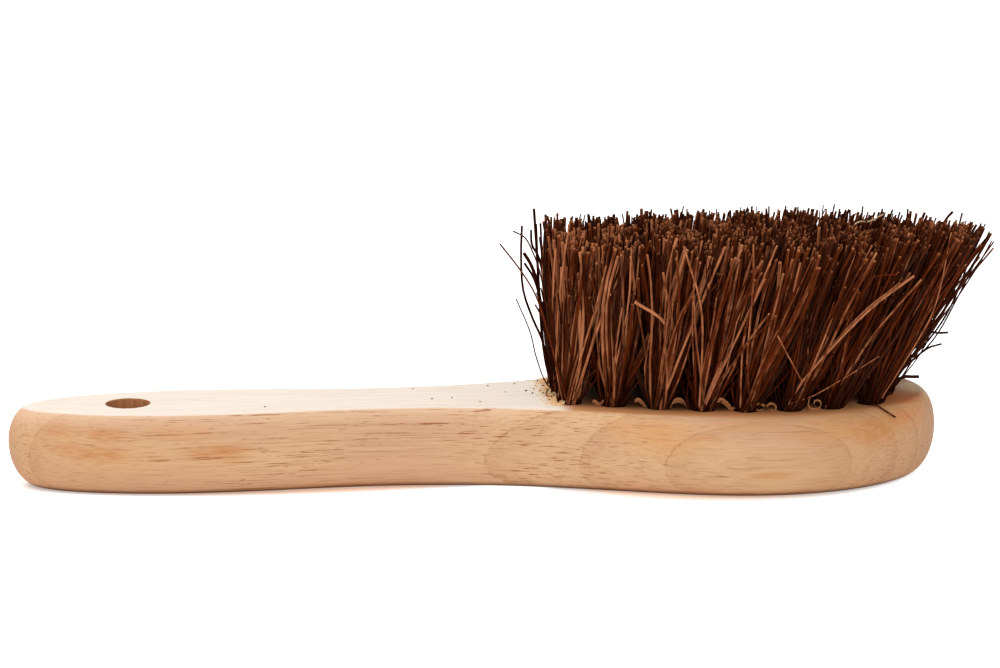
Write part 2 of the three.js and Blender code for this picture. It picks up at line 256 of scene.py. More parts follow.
woodFinish = {
    "pink": paint(222, 175, 138),
    "straw": paint(230, 186, 141),
    "shade": paint(194, 140, 98),
    "paintedUpperLight": paint(236, 200, 168),  # painted light: the handle's upper edge, paler where it faces up
    "paintedUnderShade": paint(112, 64, 34),  # painted shade along the edge that the block stands on
    "ring": paint(158, 98, 58),
    "pore": paint(156, 84, 40),
    "warm": paint(206, 138, 84),  # towards both ends
    "stain": paint(208, 138, 80),
    "russet": paint(224, 126, 58),  # round the toe: partly stain, partly painted warm shade under the bristles
    "gold": paint(224, 162, 104),
    "endGrain": paint(208, 163, 131),
    # painted light: the upward face paler, as though lit strongly from above
    "paintedLitTop": paint(252, 243, 232),
    "paintedLitTopStreak": paint(246, 230, 211),
    "paintedLightNearHeel": paint(255, 246, 231),  # painted light, a little warmer, on the face near the heel under the bristles' shade
    "strip": paint(214, 142, 86),  # the face in front of the tufts: the wood's colour, deepened and warmed as painted shade under the bristles
    "shaded": paint(80, 36, 14),  # the face among the tufts
    # painted shade on the hanging hole's wall
    "bore": paint(174, 112, 70),
    "sand": paint(250, 204, 154),  # under the sawdust
    # pale dust and painted light on the far part of the toe's face
    "dustAndLight": paint(255, 220, 182),
    "upward": (0.8, 0.985),  # from here on, where each thing fades in, or out
    "endways": (0.6, 0.97),
    "driftOver": (0.35, 0.65),
    "fibreShade": (0.42, 0.75, 0.0, 0.55),
    "latewoodShade": 0.24,
    "streaky": ((0.06, 0.7, 0.7), 4.0, 0.32, 0.58, 0.25, 0.65),
    "soft": ((0.04, 0.3, 0.3), 3.0, 0.3, 0.55, 0.4),
    "endGrainShare": 0.6,
    "warmEnds": (45.0, 105.0, 0.18),
    "paintedUpperLightFacing": (0.12, 0.7),
    "paintedUpperLightAlong": (0.0, 30.0, 0.55, 0.0),
    "paintedLitTopFibre": (0.4, 0.7),
    "paintedLitTopShare": 0.88,
    "paintedLightNearHeelFrom": (2.0, 19.0),
    "stripFrom": (19.0, 26.0),
    "stripShare": 0.8,
    "shadedField": ((66.0, 0.0, 0.0), (46.0, 25.5, 1000.0)),  # middle and half size
    "shadedRim": (0.8, 1.1, 0.9, 0.0),
    "dustAndLightStreaks": (0.25, 0.6, 0.6, 1.0),
    "ringShare": (0.46, 0.1),  # on the sides and on the face
    "poreShare": (0.85, 0.15),
    "paintedUnderShadeHeight": (0.1, 1.9, 0.9, 0.0),
    "paintedUnderShadeFacing": (-0.995, -0.95),
    "boreAt": (-94.8, 0.0, 0.0),
    "boreEdge": (6.0, 6.12, 0.85, 0.0),
    "fibreRelief": 0.3,
    "bump": (0.35, 0.15),  # strength, and depth in millimetres
    "roughness": (0.2, 0.8, 0.55, 0.72),
    "specular": 0.18,
    "patchDepth": 8.0,
    "patchRim": (0.25, 1.35),
    "stains": [  # middle, half length along the block, half height, strength
        ((-109.2, -13.4, 12.9), 8.0, 1.9, 0.55),
        ((-102.4, -15.3, 11.7), 8.5, 2.4, 0.7),
        ((-111.9, -12.2, 17.7), 7.0, 1.7, 0.6),
        ((-100.8, -15.3, 17.1), 6.5, 2.0, 0.65),
        ((-71.0, -18.0, 12.1), 9.5, 2.3, 0.8),
        ((-67.5, -17.7, 9.6), 3.5, 1.1, 0.45),
        ((57.0, -33.1, 16.6), 6.0, 1.4, 0.4),
        ((75.2, -35.4, 6.4), 7.0, 1.3, 0.6),
        ((104.0, -29.4, 17.2), 8.5, 4.4, 0.75),
        ((110.0, -26.0, 19.5), 7.0, 2.6, 0.6),
    ],
    # partly stain, partly painted warm shade on the toe's face and edge
    "russets": [((112.0, -14.0, 22.0), 10.0, 2.2, 0.9), ((116.0, -20.0, 19.5), 9.0, 4.5, 0.35)],
    "sands": [((22.0, -8.0, 22.0), 3.6, 2.0, 0.9), ((21.6, 6.0, 22.0), 3.6, 2.0, 0.9)],
    "dustAndLightPatches": [((121.0, -0.5, 22.0), 6.0, 2.5, 1.0)],
    "golds": [
        ((-81.0, -17.3, 17.9), 10.0, 2.2, 0.45),
        ((45.0, -29.5, 16.2), 14.0, 5.6, 0.7),
        ((36.0, -26.0, 18.5), 6.0, 2.4, 0.5),
        ((70.0, -34.2, 19.8), 17.0, 1.7, 0.45),
        ((94.0, -32.4, 18.6), 16.0, 4.6, 0.7),
        ((106.0, -28.0, 17.0), 12.0, 5.5, 0.5),
    ],
}


def ovals(tree, point, finish, name):  # the strongest of some soft oval patches
    strongest = None
    for middle, halfLength, halfHeight, strength in finish[name]:
        away = awayFrom(tree, point, middle, (halfLength, finish["patchDepth"], halfHeight))
        patch = fade(tree, away, *finish["patchRim"], strength, 0.0)
        strongest = patch if strongest is None else calc(tree, "MAXIMUM", strongest, patch)
    return strongest


def makeWood(finish):
    material, tree, shader = newMaterial("barePaleWood")
    point, normal = objectPoint(tree)
    masks = useGrain(tree, point, normal)
    along, _, height = addNode(tree, "ShaderNodeSeparateXYZ", {0: point}).outputs
    endFacing, _, upFacing = addNode(tree, "ShaderNodeSeparateXYZ", {0: normal}).outputs
    upward = fade(tree, upFacing, *finish["upward"])
    endways = fade(tree, calc(tree, "ABSOLUTE", endFacing), *finish["endways"])
    streaky = flecks(tree, point, *finish["streaky"])
    soft = flecks(tree, point, *finish["soft"])
    drift = fade(tree, masks["Drift"], *finish["driftOver"])
    color = mixColor(tree, drift, finish["pink"], finish["straw"])

    def lay(over, *shares):  # lays a colour over what is there, by the product of the shares
        nonlocal color
        share = shares[0]
        for other in shares[1:]:
            share = calc(tree, "MULTIPLY", share, other)
        color = mixColor(tree, share, color, over)

    lay(finish["shade"], fade(tree, masks["Fibre"], *finish["fibreShade"]))
    lay(finish["shade"], masks["Latewood"], finish["latewoodShade"])
    lay(finish["gold"], ovals(tree, point, finish, "golds"), soft)
    lay(finish["stain"], ovals(tree, point, finish, "stains"), streaky)
    lay(finish["endGrain"], endways, finish["endGrainShare"])
    warmFrom, warmTo, warmShare = finish["warmEnds"]
    towards = [fade(tree, along, end * warmFrom, end * warmTo, 0.0, warmShare) for end in (1, -1)]
    lay(finish["warm"], calc(tree, "ADD", *towards))
    # painted light: the handle's sides paler where they turn upwards
    paintedUpperLight = fade(tree, upFacing, *finish["paintedUpperLightFacing"])
    lay(finish["paintedUpperLight"], paintedUpperLight, fade(tree, along, *finish["paintedUpperLightAlong"]))
    # painted light on the face, with streaks along the fibre
    streaks = fade(tree, masks["Fibre"], *finish["paintedLitTopFibre"])
    paintedLitTop = mixColor(tree, streaks, finish["paintedLitTop"], finish["paintedLitTopStreak"])
    # painted light, stronger on the face near the heel
    paintedLitTop = mixColor(tree, fade(tree, along, *finish["paintedLightNearHeelFrom"]), paintedLitTop, finish["paintedLightNearHeel"])
    # the face in front of the tufts drops the painted light and takes a painted warm shade
    strip = fade(tree, along, *finish["stripFrom"])
    lay(paintedLitTop, upward, fade(tree, strip, 0.0, 1.0, finish["paintedLitTopShare"], 0.0))
    lay(finish["strip"], upward, calc(tree, "MULTIPLY", strip, finish["stripShare"]))
    lay(finish["russet"], ovals(tree, point, finish, "russets"), soft)
    lay(finish["sand"], ovals(tree, point, finish, "sands"))
    fromField = awayFrom(tree, point, *finish["shadedField"])
    lay(finish["shaded"], upward, fade(tree, fromField, *finish["shadedRim"]))
    # pale dust and painted light on the toe's face
    lay(finish["dustAndLight"], ovals(tree, point, finish, "dustAndLightPatches"), fade(tree, streaky, *finish["dustAndLightStreaks"]))
    lay(finish["ring"], masks["Rings"], fade(tree, upward, 0.0, 1.0, *finish["ringShare"]))
    lay(finish["pore"], masks["Pores"], fade(tree, upward, 0.0, 1.0, *finish["poreShare"]))
    # painted shade on the underside's rounded edge, near the floor
    paintedUnderShade = fade(tree, height, *finish["paintedUnderShadeHeight"])
    lay(finish["paintedUnderShade"], paintedUnderShade, fade(tree, upFacing, *finish["paintedUnderShadeFacing"]))
    # painted shade inside the hanging hole
    fromBore = vectorCalc(tree, "SUBTRACT", point, finish["boreAt"]).outputs[0]
    fromBore = vectorCalc(tree, "MULTIPLY", fromBore, (1.0, 1.0, 0.0)).outputs[0]
    bore = vectorCalc(tree, "LENGTH", fromBore).outputs["Value"]
    lay(finish["bore"], fade(tree, bore, *finish["boreEdge"]))
    relief = calc(tree, "MULTIPLY", masks["Fibre"], finish["fibreRelief"])
    relief = calc(tree, "SUBTRACT", relief, masks["Pores"])
    wire(tree, shader.inputs["Base Color"], color)
    wire(tree, shader.inputs["Roughness"], fade(tree, masks["Fibre"], *finish["roughness"]))
    wire(tree, shader.inputs["Normal"], bumped(tree, relief, *finish["bump"]))
    shader.inputs["Specular IOR Level"].default_value = finish["specular"]
    return material


woodMaterial = makeWood(woodFinish)
print("wood finish made")

# block

blockShape = {
    "length": 254.0,
    "thickness": 22.0,
    "gripWidth": 36.0,
    "gripWidest": 51.0,  # from the handle's end
    "gripSweep": 0.41,
    "neckWidth": 30.8,
    "neckFromNose": 154.0,
    "neckSweep": 0.485,
    "headWidth": 72.0,
    "headFromNose": 51.0,
    "headSweep": 0.3,
    "belly": 12.2,
    "backDrawIn": 5.0,
    "faceDrawIn": 3.5,
    "tailDrawIn": 1.65,  # how much further the ends draw in than the sides
    "noseDrawIn": 1.3,
    "headEase": 2.6,  # how much rounder the face's edge is beside the tufts
    "easeIn": (40.0, 68.0),  # along the block
    "easeOut": (98.0, 122.0),
    "backFlat": 0.8,
    "faceFlat": 0.6,
    "outlineSteps": {"tail": 44, "toNeck": 24, "toHead": 52, "nose": 60},
    "sideSteps": 12,
    "hangingHole": 11.8,
    "hangingHoleAt": 32.2,
    "hangingHoleEase": 0.18,
    "hangingHoleSides": 72,
    "holeRough": 0.05,
    "floorUnderTufts": 8.5,
    "sharpFrom": 32.0,  # degrees
}
tailX = -blockShape["length"] / 2
noseX = blockShape["length"] / 2
faceZ = blockShape["thickness"]


def bezier(points, count):
    t = np.linspace(0, 1, count)[:, None]
    a, b, c, d = points
    return (1 - t) ** 3 * a + 3 * t * (1 - t) ** 2 * b + 3 * t * t * (1 - t) * c + t**3 * d


def halfOutline(shape, inset=0.0):
    grip = np.array([tailX + shape["gripWidest"], shape["gripWidth"] / 2 - inset])
    neck = np.array([noseX - shape["neckFromNose"], shape["neckWidth"] / 2 - inset])
    head = np.array([noseX - shape["headFromNose"], shape["headWidth"] / 2 - inset])

    def sweep(start, stop, leave, arrive, count):
        run = np.array([stop[0] - start[0], 0.0])
        return bezier((start, start + leave * run, stop - arrive * run, stop), count)

    def quarter(middle, reach, half, first, last, count):
        a = np.linspace(first, last, count)
        return np.stack([middle + reach * np.cos(a), half * np.sin(a)], 1)

    steps = shape["outlineSteps"]
    tailReach = shape["gripWidest"] - inset * shape["tailDrawIn"]
    noseReach = shape["headFromNose"] - inset * shape["noseDrawIn"]
    tail = quarter(grip[0], tailReach, grip[1], math.pi, math.pi / 2, steps["tail"])
    toNeck = sweep(grip, neck, shape["gripSweep"], shape["gripSweep"], steps["toNeck"])
    toHead = sweep(neck, head, shape["neckSweep"], shape["headSweep"], steps["toHead"])
    nose = quarter(head[0], noseReach, head[1], math.pi / 2, 0.0, steps["nose"])
    points = np.concatenate([tail, toNeck[1:], toHead[1:], nose[1:]])
    points[[0, -1], 1] = 0.0
    return points


def smoothStep(low, high, values):
    t = np.clip((values - low) / (high - low), 0, 1)
    return t * t * (3 - 2 * t)


def outlineRing(shape, inset, ease, z):
    half = halfOutline(shape, inset)
    eased = halfOutline(shape, inset + ease)
    beside = smoothStep(*shape["easeIn"], half[:, 0]) * (1 - smoothStep(*shape["easeOut"], half[:, 0]))
    half = half + beside[:, None] * (eased - half)
    near = half * (1, -1)
    ring = np.concatenate([near, half[-2:0:-1]])
    return np.column_stack([ring, np.full(len(ring), z)])


def sideLevels(shape):  # draw-in, more of it beside the tufts, and height, from the back to the face
    levels = [(shape["backDrawIn"] + shape["backFlat"], 0.0, 0.0)]
    turns = np.linspace(0, math.pi / 2, shape["sideSteps"] + 1)
    for a in turns:
        levels.append((shape["backDrawIn"] * (1 - math.sin(a)), 0.0, shape["belly"] * (1 - math.cos(a))))
    for a in turns[-2::-1]:
        share = 1 - math.sin(a)
        z = faceZ - (faceZ - shape["belly"]) * (1 - math.cos(a))
        levels.append((shape["faceDrawIn"] * share, shape["headEase"] * share, z))
    levels.append((shape["faceDrawIn"] + shape["faceFlat"], shape["headEase"], faceZ))
    return levels


def skin(rings):  # points and faces of a closed skin through rings of one count
    count = len(rings[0])
    faces = []
    for level in range(len(rings) - 1):
        low = level * count
        for i in range(count):
            j = (i + 1) % count
            faces.append((low + i, low + j, low + count + j, low + count + i))
    top = (len(rings) - 1) * count
    faces.append(tuple(range(count - 1, -1, -1)))
    faces.append(tuple(range(top, top + count)))
    return np.concatenate(rings), faces


def newMesh(name, points, faces):  # points in millimetres
    mesh = bpy.data.meshes.new(name)
    mesh.from_pydata((np.asarray(points) * mm).tolist(), [], faces)
    mesh.update()
    return mesh


def newPiece(name, mesh, material):
    piece = bpy.data.objects.new(name, mesh)
    mesh.materials.clear()
    mesh.materials.append(material)
    scene.collection.objects.link(piece)
    return piece


def turnedRings(x, y, profile, sides, rough, random):  # rings of a turned cutter, from below
    a = np.arange(sides) * 2 * math.pi / sides
    rings = []
    for radius, z in profile:
        r = radius + random.normal(0, rough, sides)
        rings.append(np.column_stack([x + r * np.cos(a), y + r * np.sin(a), np.full(sides, z)]))
    return rings


def joinSkins(skins):
    points, faces, start = [], [], 0
    for somePoints, someFaces in skins:
        points.append(somePoints)
        faces.extend(tuple(i + start for i in face) for face in someFaces)
        start += len(somePoints)
    return np.concatenate(points), faces


# tufts

tufts = {
    "across": [3, 4, 5, 5, 6, 6, 6, 5],
    "columnsPerPiece": [2, 2, 2, 2],
    "pieces": ["heel", "waist", "belly", "toe"],
    "heelFromNose": 103.0,
    "toeFromNose": 22.5,
    "toeBow": 6.0,
    "heelInset": 12.5,
    "toeInset": 10.8,
    "hole": 6.5,
    "holeSides": 26,
    "lip": (0.5, 0.35),  # height and width of a hole's broken edge
    "heelLean": -1.5,
    "toeLean": 22.0,
    "sideSplay": 0.38,
}


def tuftColumns(values):
    outline = halfOutline(blockShape)
    columns = []
    for i, count in enumerate(values["across"]):
        share = i / (len(values["across"]) - 1)
        x = noseX - values["heelFromNose"] + share * (values["heelFromNose"] - values["toeFromNose"])
        inset = values["heelInset"] + share * (values["toeInset"] - values["heelInset"])
        reach = np.interp(x, outline[:, 0], outline[:, 1]) - inset
        side = np.linspace(-1, 1, count)
        columns.append(np.column_stack([x + values["toeBow"] * share * (1 - side**2), side * reach]))
    return columns


def tipCentres(values, centres):
    span = values["heelFromNose"] - values["toeFromNose"]
    share = (centres[:, 0] - (noseX - values["heelFromNose"])) / span
    lean = values["heelLean"] + share * (values["toeLean"] - values["heelLean"])
    return np.column_stack([centres[:, 0] + lean, centres[:, 1] * (1 + values["sideSplay"])])


columns = tuftColumns(tufts)
centres = np.concatenate(columns)


def makeBlock(shape):
    body = newMesh("block", *skin([outlineRing(shape, *level) for level in sideLevels(shape)]))
    piece = newPiece("block", body, woodMaterial)
    random = np.random.default_rng(7)
    past, rough = 4.0, shape["holeRough"]
    radius, ease = shape["hangingHole"] / 2, shape["hangingHoleEase"]
    profile = [
        (radius + ease + past, -past),
        (radius + ease, 0.0),
        (radius, 1.4 * ease),
        (radius, faceZ / 2),
        (radius, faceZ - 1.4 * ease),
        (radius + ease, faceZ),
        (radius + ease + past, faceZ + past),
    ]
    holeX = tailX + shape["hangingHoleAt"]
    cuts = [skin(turnedRings(holeX, 0.0, profile, shape["hangingHoleSides"], rough, random))]
    drill, (lipHeight, lipWidth), past = tufts["hole"] / 2, tufts["lip"], 2.0
    profile = [
        (drill, shape["floorUnderTufts"]),
        (drill, faceZ - lipHeight),
        (drill + lipWidth, faceZ),
        (drill + past, faceZ + past),
    ]
    for x, y in centres:
        cuts.append(skin(turnedRings(x, y, profile, tufts["holeSides"], rough, random)))
    cutter = bpy.data.objects.new("drill", newMesh("drill", *joinSkins(cuts)))
    scene.collection.objects.link(cutter)
    drilled = piece.modifiers.new("drilled", "BOOLEAN")
    drilled.object = cutter
    drilled.operation = "DIFFERENCE"
    drilled.solver = "EXACT"
    evaluated = piece.evaluated_get(bpy.context.evaluated_depsgraph_get())
    result = bpy.data.meshes.new_from_object(evaluated)
    piece.modifiers.clear()
    piece.data = result
    bpy.data.objects.remove(cutter)
    result.shade_smooth()
    result.set_sharp_from_angle(angle=math.radians(shape["sharpFrom"]))
    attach(piece, "root")
    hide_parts("handle_block")
    return piece


block = makeBlock(blockShape)
print("block made", len(block.data.polygons), "faces")

# palm fibre

fibreFinish = {
    "dark": paint(40, 10, 2),
    "brown": paint(98, 40, 14),
    "bright": paint(204, 130, 88),
    "cut": paint(198, 124, 80),
    "blond": paint(226, 190, 150),
    # painted shade at the strands' feet
    "root": paint(20, 4, 1),
    "dusk": paint(60, 34, 25),  # of the strands that are greyer than the rest
    "duskShare": (0.65, 0.95, 0.0, 0.7),
    "mottle": ((0.9, 0.9, 0.16), 3.0, 0.6),  # waves, detail and roughness
    "mottleTone": 0.65,
    "brownOver": (0.0, 0.5),  # tones at which each colour sets in and is full
    "brightOver": (0.5, 1.0),
    "blondOver": (1.2, 1.6),
    "rootShadeAlong": (0.02, 0.32, 0.75, 0.0),
    "cutOver": (0.0, 0.7, 0.1, 0.95),
    "bump": (0.3, 0.1),  # strength, and depth in millimetres
    "roughness": (0.3, 0.7, 0.5, 0.7),
    "specular": 0.015,
}


def makeFibre(finish):
    material, tree, shader = newMaterial("palmFibre")
    strand = addNode(tree, "ShaderNodeAttribute", attribute_name="strand")
    tone, along, cut = addNode(tree, "ShaderNodeSeparateColor", {0: strand.outputs["Color"]}).outputs
    dusky = fade(tree, strand.outputs["Alpha"], *finish["duskShare"])
    point, _ = objectPoint(tree)
    mottle = noise(tree, point, *finish["mottle"])
    tone = calc(tree, "MULTIPLY_ADD", calc(tree, "SUBTRACT", mottle, 0.5), finish["mottleTone"], tone)
    color = mixColor(tree, fade(tree, tone, *finish["brownOver"]), finish["dark"], finish["brown"])
    color = mixColor(tree, dusky, color, finish["dusk"])
    color = mixColor(tree, fade(tree, tone, *finish["brightOver"]), color, finish["bright"])
    color = mixColor(tree, fade(tree, tone, *finish["blondOver"]), color, finish["blond"])
    # painted shade, darkening each strand towards its foot
    color = mixColor(tree, fade(tree, along, *finish["rootShadeAlong"]), color, finish["root"])
    cut = calc(tree, "MULTIPLY", cut, fade(tree, tone, *finish["cutOver"]))
    color = mixColor(tree, cut, color, finish["cut"])
    wire(tree, shader.inputs["Base Color"], color)
    wire(tree, shader.inputs["Roughness"], fade(tree, mottle, *finish["roughness"]))
    wire(tree, shader.inputs["Normal"], bumped(tree, mottle, *finish["bump"]))
    shader.inputs["Specular IOR Level"].default_value = finish["specular"]
    return material


fibreMaterial = makeFibre(fibreFinish)

strands = {
    "perTuft": (140, 162),  # at the heel and at the toe, as the other pairs
    "steps": [0.0, 0.17, 0.34, 0.5, 0.67, 0.83, 0.985, 1.0],
    "sides": 5,
    "looseSides": 6,
    "footDepth": 2.5,
    "seat": 2.7,
    "thin": (0.2, 0.38),
    "thick": (0.36, 0.54),
    "thickShare": 0.3,
    "girth": (1.04, 0.86),
    "taper": (1.05, 0.92),  # at the foot and at the tip
    "lead": (0.12, 1.0, 0.05),
    "rollStep": 1.7,
    "flat": (0.8, 0.2, 2.3),  # mean, change and step of the sections' flatness
    "cutEdge": 0.06,
    "sharpFrom": 75.0,  # degrees
    "heelLength": 44.8,
    "toeExtra": 4.9,  # the tufts are cut longer towards the toe
    "nearExtra": 2.7,  # and there more on the near side than on the far side
    "rimExtra": 2.6,  # at the end of the toe
    "rimFrom": (0.84, 0.98),  # as shares of the tip field, as the shaded rim
    "uneven": (-0.5, 0.9),  # mean and spread of the cut
    "unevenLimits": (-3.0, 1.3),
    "leastRise": 0.55,  # as a share of the length
    "firstExtra": 1.6,  # the first column's own on the far side
    "firstFade": 6,
    "spread": 1.12,
    "loose": 2.2,
    "wildShare": 0.26,
    "wild": 6.5,
    "fringe": (46, 38),  # short strands about each tuft's foot
    "fringeProbe": 8.0,
    "fringeOut": (10.0, 30.0),
    "fringeLean": 0.6,
    "fringePast": 0.92,
    "fringeRise": 38.0,
    "fringeKept": (0.25, 0.75),
    "fringeGirth": 0.7,
    # the fringe strands darkened as painted shade at the tufts' feet
    "fringeShadeTone": 0.3,
    "shortShare": (0.42, 0.2),
    "shortKept": (0.66, 0.98),
    "bow": 1.0,
    "sway": 0.45,
    "farShade": 0.4,  # how much darker the far side is
    "farFrom": (0.1, 1.0),
    "rimShade": 0.35,
    "rimShadeFrom": (0.95, 1.01),
    "toneShape": (1.3, 3.3),
    # tones and bright shares fall from heel to toe: partly the strands' own tone, partly painted light from
    # the heel's side
    "toneScale": (1.55, 0.84),
    "toneCurve": 0.3,
    "thickTone": 0.08,
    "brightShare": (0.38, 0.03),
    "brightTone": (0.62, 1.0),
    "brightFade": 0.18,
    "unevenTone": 0.09,
    "footField": ((68.0, 0.0), (46.0, 24.0)),  # the fringe stays over this oval
    "tipField": ((79.5, 0.0), (61.4, 42.5)),  # and the tips over this one
    "ragged": (0.86, 1.03),  # as shares of the tip field
}
veil = {  # strands that stray over the outside of the field
    "perTuft": 9,
    "out": (0.85, 1.3),
    "aside": 7.0,
    "kept": (0.68, 1.0),
    "radius": (0.2, 0.38),
    "tone": (0.4, 0.85),
    "past": (1.0, 1.0),  # how far past the tip field they may aim
    "seat": (0.9, 0.8),  # out from the tuft's middle, and to either side
    "uneven": (-0.6, 0.8),
    "taper": (1.05, 0.9),
    # lighter at the heel and darker at the toe: partly own tone, partly painted light from the heel's side
    "toneScale": (1.1, 0.75),
}
edgeVeil = {  # dark strands that stand out at the heel and at the toe
    **veil,
    "perTuft": 6,
    "out": (2.2, 3.4),
    "aside": 3.0,
    "kept": (0.45, 0.88),
    "radius": (0.17, 0.3),
    "tone": (0.0, 0.25),
    "past": (1.08, 0.97),
}


def tubes(paths, radii, tones, sides):  # strands as closed tubes: points, faces and strand colours
    count, rings, _ = paths.shape
    way = np.gradient(paths, axis=1)
    way /= np.linalg.norm(way, axis=2, keepdims=True)
    lead = np.cross(way, np.array(strands["lead"]))
    lead /= np.linalg.norm(lead, axis=2, keepdims=True)
    other = np.cross(way, lead)
    roll = np.arange(count) * strands["rollStep"]
    a = roll[:, None] + np.arange(sides)[None] * 2 * math.pi / sides
    mean, varied, step = strands["flat"]
    flat = mean + varied * np.cos(np.arange(count) * step)[:, None, None, None]
    ca, sa = np.cos(a)[:, None, :, None], np.sin(a)[:, None, :, None]
    section = ca * lead[:, :, None] + flat * sa * other[:, :, None]
    points = paths[:, :, None] + radii[:, :, None, None] * section
    index = np.arange(count * rings * sides).reshape(count, rings, sides)
    after = np.roll(index, -1, axis=2)
    quads = np.stack([index[:, :-1], after[:, :-1], after[:, 1:], index[:, 1:]], -1).reshape(-1, 4)
    faces = quads.tolist() + index[:, 0, ::-1].tolist() + index[:, -1].tolist()
    uneven = np.random.default_rng(5).normal(0, strands["unevenTone"], (count, rings, sides))
    colors = np.ones((count, rings, sides, 4), np.float32)
    colors[..., 0] = tones[:, None, None] + uneven
    colors[..., 1] = np.linspace(0, 1, rings)[None, :, None]
    colors[..., 2] = 0.0
    colors[..., 3] = np.random.default_rng(6).random(count)[:, None, None]
    colors[:, -2, :, 2] = strands["cutEdge"]
    colors[:, -1, :, 2] = 1.0
    return points.reshape(-1, 3), faces, colors.reshape(-1, 4)


def strandPiece(name, points, faces, colors):
    mesh = newMesh(name, points, faces)
    layer = mesh.color_attributes.new("strand", "FLOAT_COLOR", "POINT")
    layer.data.foreach_set("color", colors.ravel())
    mesh.shade_smooth()
    mesh.set_sharp_from_angle(angle=math.radians(strands["sharpFrom"]))
    piece = newPiece(name, mesh, fibreMaterial)
    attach(piece, "root")
    return piece


def keepOver(field, places, random, past=1.0):  # draws what is outside an oval back to its ragged rim
    middle, half = np.array(field)
    off = (places - middle) / half
    rim = past * random.uniform(*strands["ragged"], (len(places), 1))
    return middle + half * off / np.maximum(np.linalg.norm(off, axis=1, keepdims=True) / rim, 1.0)


def strandPaths(foot, aim, rise, kept, values, random):  # from inside the holes to the tips, a little bent
    count = len(foot)
    start = np.column_stack([foot, np.full(count, faceZ)])
    stop = start + kept[:, None] * np.column_stack([aim - foot, rise])
    start -= (stop - start) * (values["footDepth"] / (stop - start)[:, 2:])
    t = np.array(values["steps"])[None, :, None]
    bow = np.column_stack([random.normal(0, values["bow"], (count, 2)), np.zeros(count)])
    sway = np.column_stack([random.normal(0, values["sway"], (count, 2)), np.zeros(count)])
    paths = start[:, None] + (stop - start)[:, None] * t
    return paths + bow[:, None] * (4 * t * (1 - t)) + sway[:, None] * np.sin(2 * math.pi * t)


def between(pair, share):
    return pair[0] + share * (pair[1] - pair[0])


def riseTo(foot, aim, length):  # how high a strand of that length ends
    far = np.linalg.norm(aim - foot, axis=1)
    return np.sqrt(np.maximum(length**2 - far**2, (strands["leastRise"] * length) ** 2))


def trimmedLength(values, toeShare, side):  # side: -1 is the near side and 1 the far side
    length = values["heelLength"] + toeShare * (values["toeExtra"] - side * values["nearExtra"])
    return length + (1 - toeShare) ** values["firstFade"] * max(side, 0) * values["firstExtra"]


def growTuft(centre, tip, reach, cutTo, number, toeShare, values, random):
    count = round(between(values["perTuft"], toeShare))
    i = np.arange(count)
    share = np.sqrt((i + 0.5) / count)
    turn = i * goldenAngle + number
    unit = np.column_stack([share * np.cos(turn), share * np.sin(turn)])
    foot = centre + values["seat"] * unit
    aim = tip + values["spread"] * reach * unit + random.normal(0, values["loose"], (count, 2))
    wild = random.random(count) < values["wildShare"]
    aim = aim + wild[:, None] * random.normal(0, values["wild"], (count, 2))
    aim = keepOver(values["tipField"], aim, random)
    middle, half = np.array(values["tipField"])
    outer = (aim[:, 0] - middle[0]) / half[0]  # -1 at the end of the heel and 1 at the end of the toe
    length = cutTo + np.clip(random.normal(*values["uneven"], count), *values["unevenLimits"])
    length += values["rimExtra"] * smoothStep(*values["rimFrom"], outer)
    rise = riseTo(foot, aim, length)
    short = random.random(count) < between(values["shortShare"], toeShare)
    kept = np.where(short, random.uniform(*values["shortKept"], count), 1.0)
    fringe = i >= count - round(between(values["fringe"], toeShare))
    splay = random.uniform(0, 2 * math.pi, count)
    side = np.column_stack([np.cos(splay), np.sin(splay)])
    middle, half = np.array(values["footField"])
    outside = (((foot + values["fringeProbe"] * side - middle) / half) ** 2).sum(1) > 1
    side = np.where(outside[:, None], -side, side)
    astray = foot + random.uniform(*values["fringeOut"], (count, 1)) * side
    astray = astray + values["fringeLean"] * (tip - centre)
    astray = keepOver(values["tipField"], astray, random, values["fringePast"])
    aim = np.where(fringe[:, None], astray, aim)
    rise = np.where(fringe, values["fringeRise"], rise)
    kept = np.where(fringe, random.uniform(*values["fringeKept"], count), kept)
    paths = strandPaths(foot, aim, rise, kept, values, random)
    thick = random.random(count) < values["thickShare"]
    stout, fine = (random.uniform(*values[name], count) for name in ("thick", "thin"))
    radius = np.where(thick, stout, fine)
    radius *= np.where(fringe, values["fringeGirth"], 1.0) * between(values["girth"], toeShare)
    radii = radius[:, None] * np.linspace(*values["taper"], paths.shape[1])
    toeTone = toeShare ** values["toneCurve"]
    tones = random.beta(*values["toneShape"], count) + values["thickTone"] * thick
    tones = tones * between(values["toneScale"], toeTone)
    bright = random.random(count) < between(values["brightShare"], toeTone)
    brightTones = random.uniform(*values["brightTone"], count) * (1 - values["brightFade"] * toeShare)
    # the fringe strands darkened as painted shade
    tones = np.where(bright, brightTones, tones) * np.where(fringe, values["fringeShadeTone"], 1.0)
    shade = values["rimShade"] * smoothStep(*values["rimShadeFrom"], np.abs(outer))
    return paths, radii, tones * (1 - shade)


